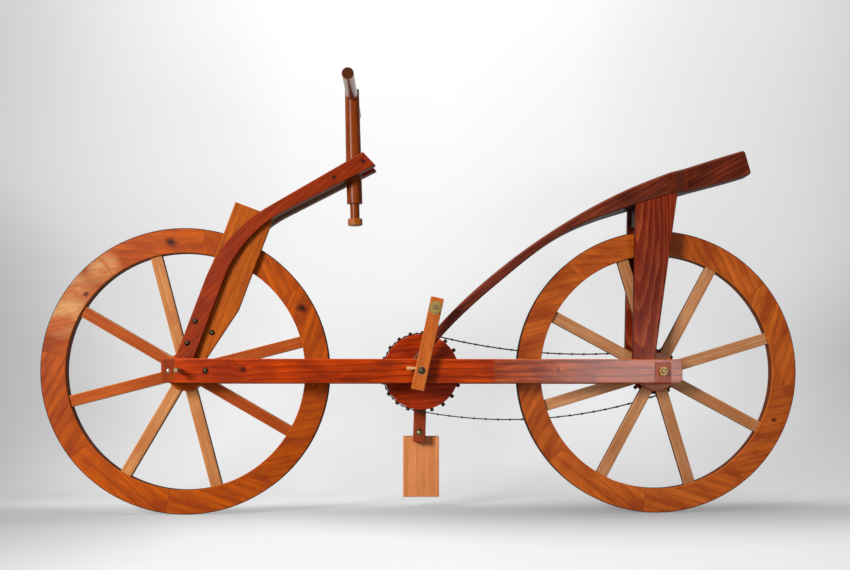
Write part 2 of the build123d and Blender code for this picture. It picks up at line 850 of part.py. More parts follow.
make_wheel("front", front_x, front_spoke_angle)
make_wheel("rear", rear_x, rear_spoke_angle)
save("front_hub", Pos(front_x, 0, axle_z) * hub())
save("rear_hub", Pos(rear_x, 0, axle_z) * (hub() + sprocket_boss()))
ring_bore = crank_axle_r
make_pegged_wheel("chainring", crank_x, chain_pitch_r, chainring_pegs, chainring_thick, ring_bore, peg_angle)
bush_r = axle_r + running_gap
sprocket_peg = sprocket_angle + 180 / sprocket_pegs
make_pegged_wheel("sprocket", rear_x, sprocket_pitch_r, sprocket_pegs, sprocket_thick, bush_r, sprocket_peg)
make_chain()
make_fork()
make_beams()
make_ties()
make_bearing_block()
make_saddle()
make_handlebar()
make_axles()
make_bolts()
make_crank()
make_pins()
make_pedal()
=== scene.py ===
import json
import math

import bmesh
import bpy
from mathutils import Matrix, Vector


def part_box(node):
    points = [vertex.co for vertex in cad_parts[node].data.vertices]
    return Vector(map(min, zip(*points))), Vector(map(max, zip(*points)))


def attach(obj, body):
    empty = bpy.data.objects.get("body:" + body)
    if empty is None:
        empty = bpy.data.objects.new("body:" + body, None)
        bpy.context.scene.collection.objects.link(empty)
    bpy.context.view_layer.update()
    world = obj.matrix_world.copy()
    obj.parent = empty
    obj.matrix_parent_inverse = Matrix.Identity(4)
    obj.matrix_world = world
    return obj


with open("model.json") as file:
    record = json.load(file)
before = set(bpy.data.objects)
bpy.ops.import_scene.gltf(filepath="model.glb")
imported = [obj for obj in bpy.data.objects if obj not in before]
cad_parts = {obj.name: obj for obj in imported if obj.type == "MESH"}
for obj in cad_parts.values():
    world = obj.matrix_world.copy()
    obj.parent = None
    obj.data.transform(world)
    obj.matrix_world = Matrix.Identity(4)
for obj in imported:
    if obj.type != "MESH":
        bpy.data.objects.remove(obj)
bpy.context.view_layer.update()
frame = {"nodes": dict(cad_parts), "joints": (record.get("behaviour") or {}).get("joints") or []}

MM = 0.001


# Places, all read from the frame


def joint_place(name):
    return Vector(next(joint["pos_m"] for joint in frame["joints"] if joint["name"] == name))


FRONT_AXLE = joint_place("front_wheel_spin")
REAR_AXLE = joint_place("rear_wheel_spin")
CRANK_AXLE = joint_place("crank_spin")
POST_PLACE = joint_place("handlebar_swivel")
PEDAL_PIN = joint_place("pedal_swing")
WHEEL_R = FRONT_AXLE.z

# Each wheel has eight felloes and eight spokes. Its first spoke stands this many degrees above level.
WHEEL_PARTS = 8
HALF_STEP = 180 / WHEEL_PARTS
FIRST_SPOKE = {"front": 14.6, "rear": 16.8}


# Materials


def linear(hex_colour):
    """An sRGB hex colour as the linear colour that a shader takes."""
    channels = [int(hex_colour[i : i + 2], 16) / 255 for i in (1, 3, 5)]
    return [c / 12.92 if c <= 0.04045 else ((c + 0.055) / 1.055) ** 2.4 for c in channels] + [1.0]


def add(tree, kind, settings=None, **inputs):
    """Adds a node with its settings and its links.

    An input is named, or given by its number as i0, i1 and so on. It is a value, a hex colour, a socket to
    link from, or a node whose first output is linked. Among the settings, stops are those of a colour
    ramp: each is a place with a hex colour or a grey level."""
    node = tree.nodes.new("ShaderNode" + kind)
    for key, value in (settings or {}).items():
        if key != "stops":
            setattr(node, key, value)
            continue
        elements = node.color_ramp.elements
        while len(elements) < len(value):
            elements.new(0.5)
        for element, (place, tone) in zip(elements, value):
            element.position = place
            element.color = linear(tone) if isinstance(tone, str) else (tone, tone, tone, 1)
    for key, value in inputs.items():
        socket = node.inputs[int(key[1:]) if key[1:].isdigit() else key.replace("_", " ")]
        if isinstance(value, bpy.types.Node):
            value = value.outputs[0]
        if isinstance(value, bpy.types.NodeSocket):
            tree.links.new(value, socket)
        else:
            socket.default_value = linear(value) if isinstance(value, str) else value
    return node


def new_material(name):
    """A material with an empty node tree."""
    material = bpy.data.materials.new(name)
    material.use_nodes = True
    material.node_tree.nodes.clear()
    return material, material.node_tree


# Sizes of the wood's patterns, as their number in a metre
SWAYS_PER_M = 18  # the rings sway over about 55 mm
STREAKS_PER_M = 190  # pale and dark streaks about 5 mm wide
PATCHES_PER_M = 22  # uneven stain in patches about 45 mm across
BROAD_PER_M = 7  # the figure comes and goes over about 140 mm
# Fibres about 1 mm apart, some three times as coarse as real ones, so that they show
FIBRES_PER_M = 950
# A ring wave draws one ring in this much of its own length
RING_WAVE = 0.314


def along(heart, tilt=0.0, dive=0.0, direction="X"):
    """The grain of one straight plank: coordinates turned so that X runs along it.

    The tree's heart lies on their X axis. A heart that dives through the plank draws the growth rings as
    arches."""

    def grain_of(tree):
        where = add(tree, "TexCoord").outputs["Object"]
        turn = (0.0, math.radians(tilt), math.radians(dive))
        if direction == "Y":
            turn = (0.0, 0.0, math.radians(-90))
        moved = add(tree, "VectorMath", {"operation": "SUBTRACT"}, i0=where, i1=heart)
        return add(tree, "Mapping", {"vector_type": "POINT"}, Vector=moved, Rotation=turn), {}

    return grain_of


def wheel_frame(tree, axle, first_angle, radial):
    """Coordinates for timbers set round an axle: X along each timber's grain, Y across the wheel.

    Also gives the distance from the axle, how far a point is from the joint of two timbers, and a chance
    value for each timber."""
    where = add(tree, "TexCoord").outputs["Object"]
    around = add(tree, "VectorMath", {"operation": "SUBTRACT"}, i0=where, i1=tuple(axle))
    x, y, z = add(tree, "SeparateXYZ", Vector=around).outputs
    span = 2 * math.pi / WHEEL_PARTS
    bearing = add(tree, "Math", {"operation": "ARCTAN2"}, i0=z, i1=x)
    angle = add(tree, "Math", {"operation": "SUBTRACT"}, i0=bearing, i1=math.radians(first_angle))
    turns = add(tree, "Math", {"operation": "DIVIDE"}, i0=angle, i1=span)
    number = add(tree, "Math", {"operation": "FLOOR"}, i0=turns)
    share = add(tree, "Math", {"operation": "SUBTRACT"}, i0=turns, i1=number)
    off_middle = add(tree, "Math", {"operation": "SUBTRACT"}, i0=share, i1=0.5)
    within = add(tree, "Math", {"operation": "MULTIPLY"}, i0=off_middle, i1=span)
    flat = add(tree, "CombineXYZ", X=x, Z=z)
    radius = add(tree, "VectorMath", {"operation": "LENGTH"}, i0=flat).outputs["Value"]
    sine = add(tree, "Math", {"operation": "SINE"}, i0=within)
    cosine = add(tree, "Math", {"operation": "COSINE"}, i0=within)
    across = add(tree, "Math", {"operation": "MULTIPLY"}, i0=radius, i1=sine)
    outward = add(tree, "Math", {"operation": "MULTIPLY"}, i0=radius, i1=cosine)
    # the last whole turn counts as the first, so each timber keeps one number all over
    number = add(tree, "Math", {"operation": "FLOORED_MODULO"}, i0=number, i1=float(WHEEL_PARTS))
    chance = add(tree, "TexWhiteNoise", {"noise_dimensions": "1D"}, W=number)
    shift = add(tree, "VectorMath", {"operation": "SCALE"}, i0=chance.outputs["Color"], Scale=0.09)
    lengthwise, sideways = (outward, across) if radial else (across, outward)
    place = add(tree, "CombineXYZ", X=lengthwise, Y=y, Z=sideways)
    # felloes were sawn 0.2 to 0.9 radians aslant, spokes straight
    spread, least = (0.0, 0.0) if radial else (0.7, 0.2)
    slant = add(tree, "Math", {"operation": "MULTIPLY_ADD"}, i0=chance.outputs["Value"], i1=spread, i2=least)
    turned = add(tree, "VectorRotate", {"rotation_type": "Y_AXIS"}, Vector=place, Angle=slant)
    grain = add(tree, "VectorMath", {"operation": "ADD"}, i0=turned, i1=shift)
    off_joint = add(tree, "Math", {"operation": "ABSOLUTE"}, i0=within)
    to_joint = add(tree, "Math", {"operation": "SUBTRACT"}, i0=span / 2, i1=off_joint)
    joint = add(tree, "Math", {"operation": "MULTIPLY"}, i0=radius, i1=to_joint)
    return grain, radius, joint, chance.outputs["Value"]


def felloe_grain(axle, first_angle):
    """Each felloe is sawn from a straight plank, so its grain runs along its chord. A dark line marks the
    rim's outer edge, and a thin one each joint."""

    def grain_of(tree):
        grain, radius, joint, chance = wheel_frame(tree, axle, first_angle, radial=False)
        edge = add(
            tree, "MapRange", {"interpolation_type": "SMOOTHSTEP"},
            Value=radius, From_Min=WHEEL_R - 2.6 * MM, From_Max=WHEEL_R - 1.2 * MM,
        )
        seam = add(tree, "MapRange", Value=joint, From_Min=0.9 * MM, From_Max=0.2 * MM, To_Max=0.4)
        line = add(tree, "Math", {"operation": "MAXIMUM"}, i0=edge, i1=seam)
        return grain, {"dark_line": line, "chance": chance}

    return grain_of


def spoke_grain(axle, first_angle, level_redder):
    """A spoke's grain runs outwards. In one wheel the spokes that lie nearly level took more stain."""

    def grain_of(tree):
        grain, radius, _, chance = wheel_frame(tree, axle, first_angle - HALF_STEP, radial=True)
        where = add(tree, "TexCoord").outputs["Object"]
        around = add(tree, "VectorMath", {"operation": "SUBTRACT"}, i0=where, i1=tuple(axle))
        forward = add(tree, "SeparateXYZ", Vector=around).outputs["X"]
        reach = add(tree, "Math", {"operation": "ABSOLUTE"}, i0=forward)
        slope = add(tree, "Math", {"operation": "DIVIDE"}, i0=reach, i1=radius)
        level = add(tree, "MapRange", Value=slope, From_Min=0.72, From_Max=0.8, To_Max=level_redder)
        return grain, {"chance": chance, "redder": level}

    return grain_of


def knot_core(tree, place):
    """1 in the middle of a knot, falling to 0 at its ragged outline."""
    where = add(tree, "TexCoord").outputs["Object"]
    radius = place[3]
    ragged = add(tree, "TexNoise", Vector=where, Scale=0.9 / radius, Detail=3.0).outputs["Color"]
    size = (radius, radius, radius)
    bent = add(tree, "VectorMath", {"operation": "MULTIPLY_ADD"}, i0=ragged, i1=size, i2=where)
    centre = tuple(value + radius / 2 for value in place[:3])
    away = add(tree, "VectorMath", {"operation": "SUBTRACT"}, i0=bent, i1=centre)
    # a knot runs across the plank, so its depth hardly counts, and it is a little wider than it is high
    flat = add(tree, "VectorMath", {"operation": "MULTIPLY"}, i0=away, i1=(1.0, 0.1, 1.25))
    reach = add(tree, "VectorMath", {"operation": "LENGTH"}, i0=flat).outputs["Value"]
    return add(tree, "MapRange", Value=reach, From_Min=radius, From_Max=0.0)


def knot_push(tree, place):
    """A sideways push of up to 12 mm that bends the growth rings round a knot."""
    where = add(tree, "TexCoord").outputs["Object"]
    radius = place[3] * 3.2
    away = add(tree, "VectorMath", {"operation": "SUBTRACT"}, i0=where, i1=place[:3])
    reach = add(tree, "VectorMath", {"operation": "LENGTH"}, i0=away).outputs["Value"]
    near = add(
        tree, "MapRange", {"interpolation_type": "SMOOTHSTEP"}, Value=reach, From_Min=radius, From_Max=0.0,
    )
    lift = add(tree, "Math", {"operation": "MULTIPLY"}, i0=near, i1=0.012)
    return add(tree, "CombineXYZ", Z=lift)


def growth_rings(tree, grain, ring, wander, knots):
    """1 on the dark latewood of each growth ring. Wood varies slowly along the grain and fast across it."""
    slow = add(tree, "Mapping", {"vector_type": "POINT"}, Vector=grain, Scale=(0.2, 1.0, 1.0))
    sway = add(tree, "TexNoise", Vector=slow, Scale=SWAYS_PER_M, Detail=3.0, Roughness=0.55).outputs["Color"]
    push = add(tree, "VectorMath", {"operation": "SCALE"}, i0=sway, Scale=0.022 * wander)
    bent = add(tree, "VectorMath", {"operation": "ADD"}, i0=slow, i1=push)
    for knot in knots:
        bent = add(tree, "VectorMath", {"operation": "ADD"}, i0=bent, i1=knot_push(tree, knot))
    rings = add(
        tree, "TexWave", {"wave_type": "RINGS", "rings_direction": "X", "wave_profile": "SAW"},
        Vector=bent, Scale=RING_WAVE / (ring * MM), Distortion=1.0, Detail=3.0, Detail_Scale=1.5,
    ).outputs["Fac"]
    late = [(0.0, 0.0), (0.5, 0.1), (0.85, 0.7), (0.95, 1.0), (1.0, 0.2)]
    return add(tree, "ValToRGB", {"stops": late}, Fac=rings)


def knotty(tree, colour, knots):
    """Knots with a red brown rim and a nearly black core."""
    for knot in knots:
        core = knot_core(tree, knot)
        rim = add(tree, "ValToRGB", {"stops": [(0.0, 0.0), (0.3, 0.75), (1.0, 0.6)]}, Fac=core)
        colour = add(tree, "MixRGB", Fac=rim, Color1=colour, Color2="#6A2406")
        heart = add(tree, "ValToRGB", {"stops": [(0.35, 0.0), (0.75, 0.9)]}, Fac=core)
        colour = add(tree, "MixRGB", Fac=heart, Color1=colour, Color2="#1E0A04")
    return colour


def rubbed(tree, colour, patches, worn):
    """Streaks of pale bare wood where the varnish is rubbed away."""
    for place in worn:
        where = add(tree, "TexCoord").outputs["Object"]
        away = add(tree, "VectorMath", {"operation": "DISTANCE"}, i0=where, i1=place[:3]).outputs["Value"]
        nearness = add(tree, "MapRange", Value=away, From_Min=place[3], From_Max=0.0)
        reach = add(tree, "ValToRGB", {"stops": [(0.0, 0.0), (0.5, 1.0)]}, Fac=nearness)
        streaks = add(tree, "ValToRGB", {"stops": [(0.42, 0.1), (0.6, 0.75)]}, Fac=patches)
        bare = add(tree, "Math", {"operation": "MULTIPLY"}, i0=streaks, i1=reach)
        colour = add(tree, "MixRGB", Fac=bare, Color1=colour, Color2="#D29C62")
    return colour


def timber(
    name, grain_of, tones, *, ring=9.0, figure=0.35, line_tone=None, wander=1.0, stain=0.35,
    stain_tone=None, polish=0.3, coat=0.1, knots=(), worn=(), sawn=True, end_grain=False,
):
    """Softwood, planed, stained and varnished: growth rings as darker lines, fine fibres along the grain,
    uneven stain in long patches and a satin varnish that shows the grain as slight relief. The sawn edges
    are painted darker than the planed faces, as shade, and are duller, and the arrises between them are
    painted paler, as a highlight.

    `tones` are its pale, middle and dark colours, `ring` the mean width of a growth ring in mm and `polish`
    the varnish's roughness. A knot or a worn patch is a place and a radius."""
    pale, mid, dark = tones
    material, tree = new_material(name)
    grain, more = grain_of(tree)
    latewood = growth_rings(tree, grain, ring, wander, knots)
    fine = add(tree, "Mapping", {"vector_type": "POINT"}, Vector=grain, Scale=(0.03, 1.0, 1.0))
    fibres = add(tree, "TexNoise", Vector=fine, Scale=FIBRES_PER_M, Detail=3.0, Roughness=0.62)
    streaks = add(tree, "TexNoise", Vector=fine, Scale=STREAKS_PER_M, Detail=4.0, Roughness=0.6)
    cloudy = add(tree, "Mapping", {"vector_type": "POINT"}, Vector=grain, Scale=(0.38, 1.0, 1.0))
    patches = add(tree, "TexNoise", Vector=cloudy, Scale=PATCHES_PER_M, Detail=5.0, Roughness=0.62)
    broad = add(tree, "TexNoise", Vector=cloudy, Scale=BROAD_PER_M, Detail=2.0)

    colour = add(tree, "ValToRGB", {"stops": [(0.3, pale), (0.7, mid)]}, Fac=streaks)
    # the rings come and go along a plank
    strength = add(tree, "ValToRGB", {"stops": [(0.3, 0.35 * figure), (0.65, 1.3 * figure)]}, Fac=broad)
    shown = add(tree, "Math", {"operation": "MULTIPLY"}, i0=latewood, i1=strength)
    colour = add(tree, "MixRGB", Fac=shown, Color1=colour, Color2=line_tone or dark)
    lines = add(tree, "ValToRGB", {"stops": [(0.30, 0.66), (0.52, 1.0), (0.75, 1.1)]}, Fac=fibres)
    colour = add(tree, "MixRGB", {"blend_type": "MULTIPLY"}, Fac=0.8, Color1=colour, Color2=lines)
    blotch = add(tree, "ValToRGB", {"stops": [(0.40, 0.0), (0.64, 1.0)]}, Fac=patches)
    taken = add(tree, "Math", {"operation": "MULTIPLY"}, i0=blotch, i1=stain)
    colour = add(tree, "MixRGB", Fac=taken, Color1=colour, Color2=stain_tone or dark)
    if "chance" in more:
        # each timber took the stain a little differently
        deeper = add(tree, "Math", {"operation": "MULTIPLY"}, i0=more["chance"], i1=0.25)
        colour = add(tree, "MixRGB", Fac=deeper, Color1=colour, Color2=dark)
    if "redder" in more:
        colour = add(
            tree, "MixRGB", {"blend_type": "MULTIPLY"}, Fac=more["redder"], Color1=colour, Color2="#DC9A58",
        )
    colour = rubbed(tree, colour, patches, worn)
    colour = knotty(tree, colour, knots)
    rough = add(tree, "MapRange", Value=patches, To_Min=polish - 0.05, To_Max=polish + 0.15)

    normal = add(tree, "SeparateXYZ", Vector=add(tree, "TexCoord").outputs["Normal"])
    facing = add(tree, "Math", {"operation": "ABSOLUTE"}, i0=normal.outputs["Y"])
    if end_grain:
        # a rod's sawn ends drink the most
        ends = add(tree, "MapRange", Value=facing, From_Min=0.5, From_Max=0.9, To_Max=0.85)
        colour = add(tree, "MixRGB", Fac=ends, Color1=colour, Color2="#2A0E04")
    if sawn:
        # painted shade: the sawn side faces are painted darker, and are made duller below
        side = add(tree, "MapRange", Value=facing, From_Min=0.45, From_Max=0.1)
        painted_side_shade = add(tree, "Math", {"operation": "MULTIPLY"}, i0=side, i1=0.62)
        colour = add(tree, "MixRGB", Fac=painted_side_shade, Color1=colour, Color2="#1C0A05")
        # painted highlight: the arrises between the faces and the sawn edges are painted pale
        corner = [(0.42, 0.0), (0.6, 0.6), (0.9, 0.6), (0.98, 0.0)]
        arris = add(tree, "ValToRGB", {"stops": corner}, Fac=facing)
        colour = add(tree, "MixRGB", Fac=arris, Color1=colour, Color2=pale)
        duller = add(tree, "Math", {"operation": "MULTIPLY"}, i0=side, i1=0.4)
        rough = add(tree, "Math", {"operation": "ADD"}, i0=rough, i1=duller)
    if "dark_line" in more:
        colour = add(tree, "MixRGB", Fac=more["dark_line"], Color1=colour, Color2="#1E0D08")

    raised = add(tree, "Math", {"operation": "MULTIPLY"}, i0=fibres, i1=0.5)
    sunk = add(tree, "Math", {"operation": "MULTIPLY"}, i0=latewood, i1=-0.4)
    relief = add(tree, "Math", {"operation": "ADD"}, i0=raised, i1=sunk)
    bump = add(tree, "Bump", Strength=0.22, Distance=0.0006, Height=relief)
    shader = add(
        tree, "BsdfPrincipled", Base_Color=colour, Roughness=rough, Normal=bump, IOR=1.5,
        Specular_IOR_Level=0.07, Coat_Weight=coat, Coat_Roughness=0.2,
    )
    add(tree, "OutputMaterial", Surface=shader)
    return material


def metal(name, colour, dark, rough):
    """Metal with slight tarnish: darker, duller spots about 1 mm across, in hollows and tool marks."""
    material, tree = new_material(name)
    where = add(tree, "TexCoord").outputs["Object"]
    tarnish = add(tree, "TexNoise", Vector=where, Scale=900.0, Detail=4.0, Roughness=0.6)
    tone = add(tree, "ValToRGB", {"stops": [(0.38, colour), (0.68, dark)]}, Fac=tarnish)
    duller = add(tree, "MapRange", Value=tarnish, To_Min=rough, To_Max=rough + 0.25)
    bump = add(tree, "Bump", Strength=0.15, Distance=0.0003, Height=tarnish)
    shader = add(tree, "BsdfPrincipled", Base_Color=tone, Roughness=duller, Normal=bump, Metallic=1.0)
    add(tree, "OutputMaterial", Surface=shader)
    return material


def dress(material, *nodes):
    """Gives every face of some CAD nodes one material."""
    for node in nodes:
        piece = frame["nodes"][node]
        for slot in piece.material_slots:
            slot.material = material
        if not piece.material_slots:
            piece.data.materials.append(material)


# Each timber's heart is the place, in metres, round which its growth rings are drawn


def rim_place(axle, degrees, radius, size):
    """A place on a rim, for a knot or a worn patch: degrees above level, mm from the axle, radius in mm."""
    turn = math.radians(degrees)
    return (axle.x + radius * MM * math.cos(turn), 0.0, axle.z + radius * MM * math.sin(turn), size * MM)


def paint_wheels():
    """The front wheel is redder and more worn, and its level spokes took more stain."""
    rim_tones = {
        "front": ("#CC5E06", "#A84402", "#601E02"),
        "rear": ("#DA7020", "#B85214", "#6A2406"),
    }
    spoke_tones = {
        "front": ("#DC9A60", "#C07A42", "#82441C"),
        "rear": ("#D49A6C", "#B87A46", "#7C4622"),
    }
    level_redder = {"front": 1.0, "rear": 0.0}
    rim_worn = {
        "front": [rim_place(FRONT_AXLE, 150, 328, 95), rim_place(FRONT_AXLE, 128, 320, 50)],
        "rear": [],
    }
    rim_knots = {
        "front": [
            rim_place(FRONT_AXLE, 96.6, 318, 19), rim_place(FRONT_AXLE, 28.5, 322, 17),
            rim_place(FRONT_AXLE, 142.0, 305, 9),
        ],
        "rear": [rim_place(REAR_AXLE, -22.0, 318, 9)],
    }
    for side, axle in (("front", FRONT_AXLE), ("rear", REAR_AXLE)):
        first = FIRST_SPOKE[side]
        # pine planed flat and varnished: orange, with red brown bands aslant across each felloe
        rim = timber(
            f"{side}_rim_varnished_pine", felloe_grain(axle, first + HALF_STEP), rim_tones[side],
            ring=20.0, figure=0.4, wander=1.6, stain=0.7, stain_tone="#7A2606", polish=0.34, coat=0.03,
            knots=rim_knots[side], worn=rim_worn[side],
        )
        # pine planed and oiled: pale and nearly matt, with straight fine grain
        spokes = timber(
            f"{side}_spokes_oiled_pine", spoke_grain(axle, first, level_redder[side]), spoke_tones[side],
            ring=7.0, figure=0.3, wander=0.6, stain=0.4, stain_tone="#98400C", polish=0.45, coat=0.03,
        )
        # pine turned on a lathe and varnished: the rim's colour with a smoother shine
        hub = timber(
            f"{side}_hub_varnished_pine", along((axle.x, 0.0, axle.z + 0.12)), rim_tones[side],
            ring=9.0, stain=0.3, polish=0.36, coat=0.1, sawn=False,
        )
        dress(rim, *(f"{side}_felloe_{number}" for number in range(1, WHEEL_PARTS + 1)))
        dress(spokes, f"{side}_spokes")
        dress(hub, f"{side}_hub")


def paint_beams():
    z = FRONT_AXLE.z
    # planed pine under red varnish: deep orange red with dark wandering rings and one knot
    beam = timber(
        "main_beam_red_varnished_pine", along((-0.3, -0.03, z - 0.05), 0.8, 1.0),
        ("#D04802", "#AC3002", "#4E0E02"),
        ring=13.0, figure=0.55, wander=1.2, stain=0.6, stain_tone="#5A1204", polish=0.24, coat=0.08,
        knots=[(FRONT_AXLE.x + 0.148, -0.092, z + 0.004, 0.012)],
    )
    # the same pine with a glossier varnish, its tones paler and pinker as a painted glare, over dark red
    # streaks
    rear_beam = timber(
        "rear_beam_pine_painted_glare", along((0.4, -0.04, z + 0.06), -0.8, -1.0),
        ("#CC6028", "#983008", "#420C02"),
        ring=12.0, figure=0.7, wander=1.2, stain=0.75, stain_tone="#5A1206", polish=0.22, coat=0.35,
        knots=[(0.325, -0.092, z + 0.001, 0.006)],
    )
    # planed pine with thinner varnish: plainer and browner
    far_beam = timber(
        "far_beam_varnished_pine", along((0.0, 0.04, z + 0.05), 0.8, 1.0),
        ("#A43A04", "#862802", "#4A0E02"),
        ring=12.0, stain=0.5, polish=0.3, coat=0.1,
    )
    # short pine blocks with their grain upright: a browner patch at the beams' ends
    cap = timber(
        "end_cap_varnished_pine", along((FRONT_AXLE.x, -0.05, z + 0.1), 88.0),
        ("#AA4206", "#8A2E04", "#501404"),
        ring=8.0, stain=0.4, polish=0.28, coat=0.12,
    )
    dress(beam, "near_beam_front")
    dress(rear_beam, "near_beam_rear")
    dress(far_beam, "far_main_beam", "cross_ties", "crank_bearing_block")
    dress(cap, "front_end_caps", "rear_axle_blocks")


def paint_fork():
    # sawn curved from one plank, scraped and varnished: red brown, with the rings cut aslant
    curve = timber(
        "curved_beam_red_varnished_pine", along((-0.35, -0.03, 0.66), 42.0, 2.0),
        ("#A03808", "#802406", "#3A0C04"),
        ring=13.0, figure=0.5, wander=1.6, stain=0.6, stain_tone="#641606", polish=0.28, coat=0.12,
        knots=[(-0.408, -0.052, 0.738, 0.010)],
    )
    # planed pine under clear varnish: amber, with broad soft figure
    board = timber(
        "fork_board_amber_pine", along((-0.44, -0.03, 0.56), 69.5, 2.5),
        ("#BE5E0A", "#9C4406", "#5A2204"),
        ring=16.0, figure=0.45, wander=1.2, stain=0.4, stain_tone="#7E3606", polish=0.32, coat=0.08,
    )
    # sawn pine with oil alone: pale and matt, inside the curved beams
    core = timber(
        "core_oiled_pine", along((-0.3, 0.0, 0.7), 30.0),
        ("#B07A46", "#986430", "#6A3C18"),
        ring=8.0, stain=0.2, polish=0.5, coat=0.0,
    )
    # ends of dowels, cut flush: small dark discs
    dowel = timber(
        "dowel_end_grain", along((0.0, 0.0, 0.0), direction="Y"),
        ("#4A1C0C", "#381206", "#1C0602"),
        ring=2.0, stain=0.3, polish=0.4, sawn=False,
    )
    dress(curve, "near_curved_beam", "far_curved_beam")
    dress(board, "near_fork_board", "far_fork_board")
    dress(core, "beam_core", "crown_block")
    dress(dowel, "fork_dowels", "chainring_pegs", "sprocket_pegs")


def paint_seat():
    # pine with walnut stain, rubbed down: dark brown, red where it is worn
    saddle = timber(
        "saddle_beam_walnut_stained_pine", along((0.35, -0.02, 0.60), 30.0, 2.0),
        ("#84361C", "#581C0E", "#200604"),
        ring=12.0, figure=0.55, wander=1.4, stain=0.6, stain_tone="#2A0A06", polish=0.34, coat=0.12,
    )
    # planed pine with red stain, cut close to the tree's heart: pale arched lines on dark red
    upright = timber(
        "upright_red_stained_pine", along((REAR_AXLE.x - 0.045, -0.135, 0.55), -86.0, 5.0),
        ("#86260A", "#601606", "#220602"),
        ring=8.0, figure=0.85, line_tone="#B05028", wander=0.9, stain=0.4, stain_tone="#2C0C06",
        polish=0.3, coat=0.03,
    )
    dress(saddle, "saddle_beam", "saddle_block")
    dress(upright, "near_upright", "far_upright")


def paint_drive():
    # discs sawn from a pine plank and varnished: bright red with dark rings straight across
    ring = timber(
        "chainring_red_varnished_pine", along((CRANK_AXLE.x, 0.02, 0.24), 6.0, 3.0),
        ("#CC3E02", "#A82C02", "#4C0E02"),
        ring=13.0, figure=0.55, wander=1.4, stain=0.6, stain_tone="#4A0E04", polish=0.28, coat=0.1,
    )
    # planed pine under clear varnish: orange brown with straight grain
    near_arm = timber(
        "near_crank_arm_pale_pine", along((CRANK_AXLE.x, -0.09, 0.35), 77.8, 1.5),
        ("#CE7230", "#B8581C", "#8A3A0C"),
        ring=12.0, figure=0.35, wander=1.0, stain=0.4, stain_tone="#A04418", polish=0.32, coat=0.08,
    )
    # planed pine with red stain: plain brown red
    far_arm = timber(
        "far_crank_arm_red_pine", along((CRANK_AXLE.x, 0.10, 0.3), -91.5),
        ("#A44420", "#8A3010", "#5C1A08"),
        ring=9.0, stain=0.35, polish=0.34,
    )
    # planed pine, hardly finished: pale salmon and matt
    pedal = timber(
        "pedal_salmon_pine", along((PEDAL_PIN.x + 0.01, 0.1, 0.1), -90.0),
        ("#EC9C62", "#D88246", "#A05426"),
        ring=14.0, figure=0.35, wander=0.6, stain=0.3, stain_tone="#B4683A", polish=0.45, coat=0.03,
    )
    dress(ring, "chainring_disc", "sprocket_disc")
    dress(near_arm, "near_crank_arm")
    dress(far_arm, "far_crank_arm", "arm_spacers", "pedal_ears")
    dress(pedal, "pedal_block")


def paint_handlebar():
    # pine turned on a lathe and oiled: brown, with a narrow highlight down its length
    post = timber(
        "handlebar_post_oiled_pine", along((POST_PLACE.x, 0.05, POST_PLACE.z), -88.6, 1.0),
        ("#9A4410", "#7C3006", "#461804"),
        ring=8.0, figure=0.45, stain=0.45, polish=0.36, sawn=False,
    )
    # a turned rod polished by hands: glossier, with dark sawn ends
    bar = timber(
        "crossbar_oiled_pine", along((0.0, 0.0, 1.05), direction="Y"),
        ("#B4683C", "#98481C", "#5C240A"),
        ring=6.0, figure=0.4, stain=0.35, polish=0.26, coat=0.5, sawn=False, end_grain=True,
    )
    # a turned knob with clear oil: the palest piece of the handlebar
    knob = timber(
        "post_knob_pale_pine", along((POST_PLACE.x, 0.03, 0.7), -10.0),
        ("#B8661E", "#9C4C14", "#6A300C"),
        ring=6.0, stain=0.2, polish=0.38, sawn=False,
    )
    dress(post, "handlebar_post")
    dress(bar, "handlebar_crossbar")
    dress(knob, "handlebar_knob")


def paint_metal():
    # forged steel heads, browned and oiled: nearly black domes with a small highlight
    browned = metal("browned_steel_bolts", "#5A4E3A", "#1C1610", 0.3)
    # cast brass gone dull: yellow brown faces
    brass = metal("dull_brass_nuts", "#C0A060", "#6E5628", 0.3)
    # turned steel, warm with old oil: brownish grey rods
    turned = metal("turned_steel_axles", "#9A8460", "#54422A", 0.28)
    # drawn iron wire, darkened: thin near black lines
    wire = metal("darkened_chain_wire", "#4A3C32", "#241A14", 0.45)
    # zinc plated screws: small bright dots
    bright = metal("bright_steel_screws", "#D8D2C4", "#9C9282", 0.22)
    dress(browned, "dome_bolts", "arm_bolts")
    dress(brass, "axle_nuts", "pin_nut")
    dress(turned, "wheel_axles", "crank_axle", "pedal_pins")
    dress(wire, "chain_pins", "chain_rods")
    dress(bright, "end_screws")


